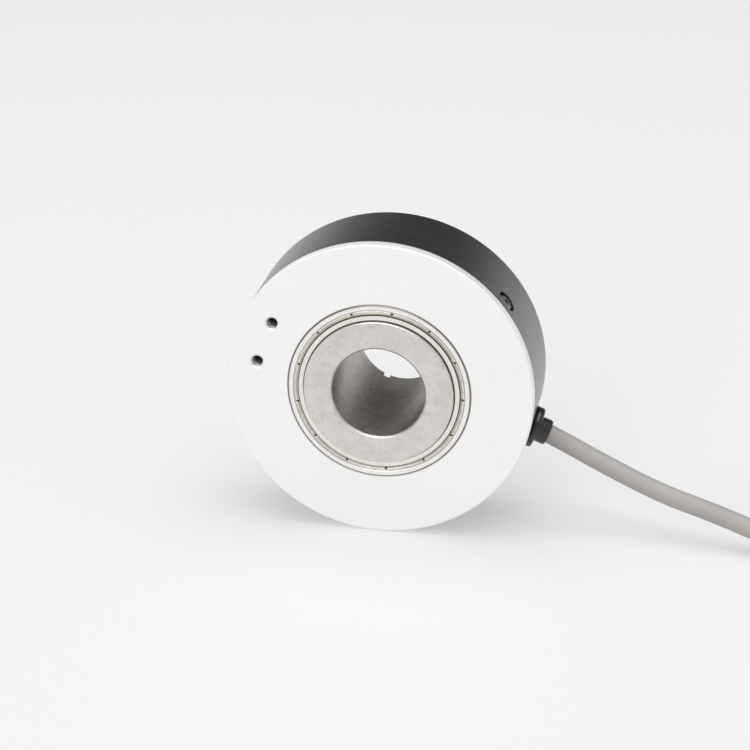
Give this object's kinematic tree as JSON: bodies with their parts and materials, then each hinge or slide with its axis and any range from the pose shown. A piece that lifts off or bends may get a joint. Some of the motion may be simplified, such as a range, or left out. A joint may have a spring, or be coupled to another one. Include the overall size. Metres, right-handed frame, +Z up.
{
  "type": "rotary encoder",
  "caption": "Flat round rotary encoder with a through-hollow shaft on shielded bearings, a turned flange, a black rear cover and a side cable.",
  "frame": {"origin": "on the bore axis, in the plane of the flange's front face", "axes": "+Y along the bore from the front face to the rear, +Z up, +X to the right seen from the front, where the cable leaves"},
  "size_m": [0.2344, 0.0741, 0.092],
  "materials": {
    "flange_aluminium": "satin turned and clear anodised",
    "black_anodised": "satin black anodised",
    "black_screw": "black oxide",
    "black_rubber": "matt",
    "grommet_rubber": "slightly glossy",
    "spring_steel": "phosphated",
    "shaft_steel": "turned, bare",
    "clamp_steel": "turned, nickel plated",
    "bearing_steel": "ground",
    "ball_steel": "polished",
    "cage_steel": "pressed",
    "zinc_shield": "zinc plated, yellow-green tint",
    "disc_glass": "clear with a ring of fine lines",
    "clear_lens": "clear",
    "small_screw": "zinc plated",
    "black_plastic": "moulded",
    "white_plastic": "moulded",
    "board_green": "solder mask",
    "brass_post": "turned",
    "lead_insulation": "coloured insulation",
    "cable_jacket": "smooth grey cable jacket"
  },
  "bodies": {
    "housing": {"front_flange": "flange_aluminium", "rear_cover": "black_anodised", "cover_screws": "black_screw", "cover_o_ring": "black_rubber", "dust_seal": "black_rubber", "bearing_circlip": "spring_steel", "light_source_holder": "black_plastic", "holder_screws": "small_screw", "light_source": "clear_lens", "reticle": "disc_glass", "light_sensor": "black_plastic", "circuit_board": "board_green", "board_chips": "black_plastic", "board_posts": "brass_post", "board_screws": "small_screw", "lead_socket": "white_plastic", "cable_grommet": "grommet_rubber", "cable_tie": "white_plastic", "inner_leads": "lead_insulation", "cable": "cable_jacket", "cable_coil": "cable_jacket", "cable_tail": "cable_jacket", "cable_end_sleeve": "black_rubber", "lead_wires": "lead_insulation", "front_bearing_outer_ring": "bearing_steel", "front_bearing_front_shield": "zinc_shield", "front_bearing_back_shield": "zinc_shield", "rear_bearing_outer_ring": "bearing_steel", "rear_bearing_front_shield": "zinc_shield", "rear_bearing_back_shield": "zinc_shield"},
    "shaft": {"hollow_shaft": "shaft_steel", "bearing_spacer": "shaft_steel", "shaft_circlip": "spring_steel", "clamp_ring": "clamp_steel", "clamp_ring_screw": "black_screw", "disc_hub": "flange_aluminium", "code_disc": "disc_glass", "disc_retainer": "flange_aluminium", "disc_screws": "small_screw", "front_bearing_inner_ring": "bearing_steel", "rear_bearing_inner_ring": "bearing_steel"},
    "front_cage": {"front_bearing_balls": "ball_steel", "front_bearing_cage": "cage_steel"},
    "rear_cage": {"rear_bearing_balls": "ball_steel", "rear_bearing_cage": "cage_steel"}
  },
  "joints": [
    {"name": "shaft_spin", "type": "hinge", "parent": "housing", "child": "shaft", "pos_m": [0, 0, 0], "axis": [0, 1, 0], "continuous": true},
    {"name": "front_cage_spin", "type": "hinge", "parent": "housing", "child": "front_cage", "pos_m": [0, 0, 0], "axis": [0, 1, 0], "continuous": true},
    {"name": "rear_cage_spin", "type": "hinge", "parent": "housing", "child": "rear_cage", "pos_m": [0, 0, 0], "axis": [0, 1, 0], "continuous": true}
  ],
  "couplings": [
    {"joint": "front_cage_spin", "follows": "shaft_spin", "ratio": 0.476},
    {"joint": "rear_cage_spin", "follows": "shaft_spin", "ratio": 0.476}
  ]
}
